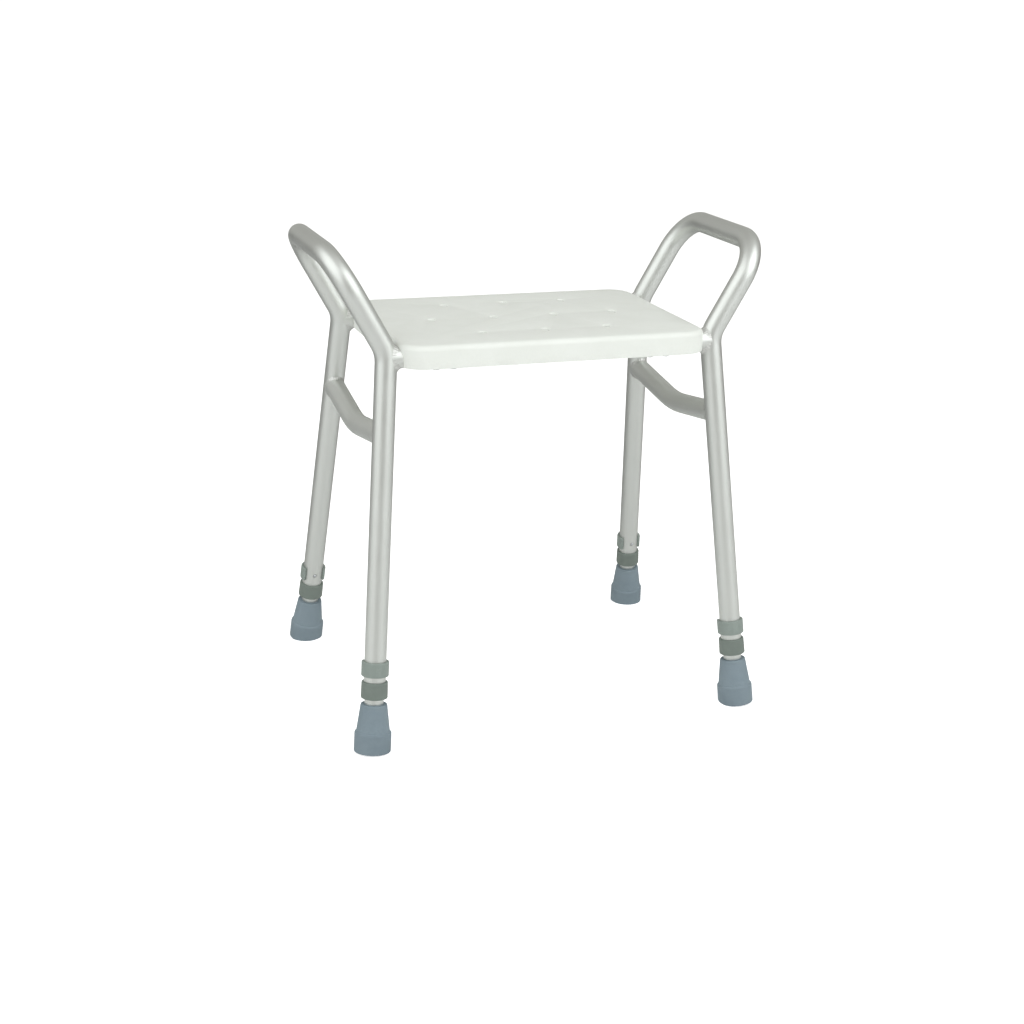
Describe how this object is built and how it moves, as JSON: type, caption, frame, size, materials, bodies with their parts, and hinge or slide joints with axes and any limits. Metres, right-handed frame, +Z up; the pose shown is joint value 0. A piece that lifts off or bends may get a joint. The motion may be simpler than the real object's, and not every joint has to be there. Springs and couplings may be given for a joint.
{
  "type": "shower stool",
  "caption": "Backless shower stool: perforated moulded seat on a bent-tube frame with raised side handles, splayed telescopic legs, clip-on height stops and rubber feet.",
  "frame": {"origin": "on the floor under the middle of the seat", "axes": "+X to the sitter's right, +Y to the back, +Z up"},
  "size_m": [0.5448, 0.389, 0.5728],
  "materials": {
    "frame_tube": "satin anodised",
    "inner_tube": "satin",
    "weld": "as welded",
    "seat_plastic": "fine satin texture",
    "collar_plastic": "matte",
    "clip_plastic": "satin",
    "plug_plastic": "matte",
    "foot_rubber": "matte",
    "steel": "zinc plated"
  },
  "bodies": {
    "frame": {"brace_left": "frame_tube", "brace_right": "frame_tube", "brace_welds": "weld", "crossbar_front": "frame_tube", "crossbar_rear": "frame_tube", "crossbar_welds": "weld", "leg_collar_front_left": "collar_plastic", "leg_collar_front_right": "collar_plastic", "leg_collar_rear_left": "collar_plastic", "leg_collar_rear_right": "collar_plastic", "seat": "seat_plastic", "seat_screws": "steel", "side_frame_left": "frame_tube", "side_frame_right": "frame_tube"},
    "leg_front_left": {"inner_leg_front_left": "inner_tube", "guide_plug_front_left": "plug_plastic", "rubber_foot_front_left": "foot_rubber", "foot_washer_front_left": "steel"},
    "clip_front_left": {"leg_clip_front_left": "clip_plastic", "clip_pin_front_left": "steel"},
    "leg_front_right": {"inner_leg_front_right": "inner_tube", "guide_plug_front_right": "plug_plastic", "rubber_foot_front_right": "foot_rubber", "foot_washer_front_right": "steel"},
    "clip_front_right": {"leg_clip_front_right": "clip_plastic", "clip_pin_front_right": "steel"},
    "leg_rear_left": {"inner_leg_rear_left": "inner_tube", "guide_plug_rear_left": "plug_plastic", "rubber_foot_rear_left": "foot_rubber", "foot_washer_rear_left": "steel"},
    "clip_rear_left": {"leg_clip_rear_left": "clip_plastic", "clip_pin_rear_left": "steel"},
    "leg_rear_right": {"inner_leg_rear_right": "inner_tube", "guide_plug_rear_right": "plug_plastic", "rubber_foot_rear_right": "foot_rubber", "foot_washer_rear_right": "steel"},
    "clip_rear_right": {"leg_clip_rear_right": "clip_plastic", "clip_pin_rear_right": "steel"}
  },
  "joints": [
    {"name": "height_front_left", "type": "slide", "parent": "frame", "child": "leg_front_left", "axis": [-0.0762, -0.1528, -0.9853], "range_m": [0, 0.15]},
    {"name": "clip_pull_front_left", "type": "slide", "parent": "frame", "child": "clip_front_left", "axis": [0.0118, -0.9883, 0.1523], "range_m": [0, 0.045], "deforming": ["leg_clip_front_left"]},
    {"name": "height_front_right", "type": "slide", "parent": "frame", "child": "leg_front_right", "axis": [0.0762, -0.1528, -0.9853], "range_m": [0, 0.15]},
    {"name": "clip_pull_front_right", "type": "slide", "parent": "frame", "child": "clip_front_right", "axis": [-0.0118, -0.9883, 0.1523], "range_m": [0, 0.045], "deforming": ["leg_clip_front_right"]},
    {"name": "height_rear_left", "type": "slide", "parent": "frame", "child": "leg_rear_left", "axis": [-0.0762, 0.1528, -0.9853], "range_m": [0, 0.15]},
    {"name": "clip_pull_rear_left", "type": "slide", "parent": "frame", "child": "clip_rear_left", "axis": [0.0118, 0.9883, 0.1523], "range_m": [0, 0.045], "deforming": ["leg_clip_rear_left"]},
    {"name": "height_rear_right", "type": "slide", "parent": "frame", "child": "leg_rear_right", "axis": [0.0762, 0.1528, -0.9853], "range_m": [0, 0.15]},
    {"name": "clip_pull_rear_right", "type": "slide", "parent": "frame", "child": "clip_rear_right", "axis": [-0.0118, 0.9883, 0.1523], "range_m": [0, 0.045], "deforming": ["leg_clip_rear_right"]}
  ]
}
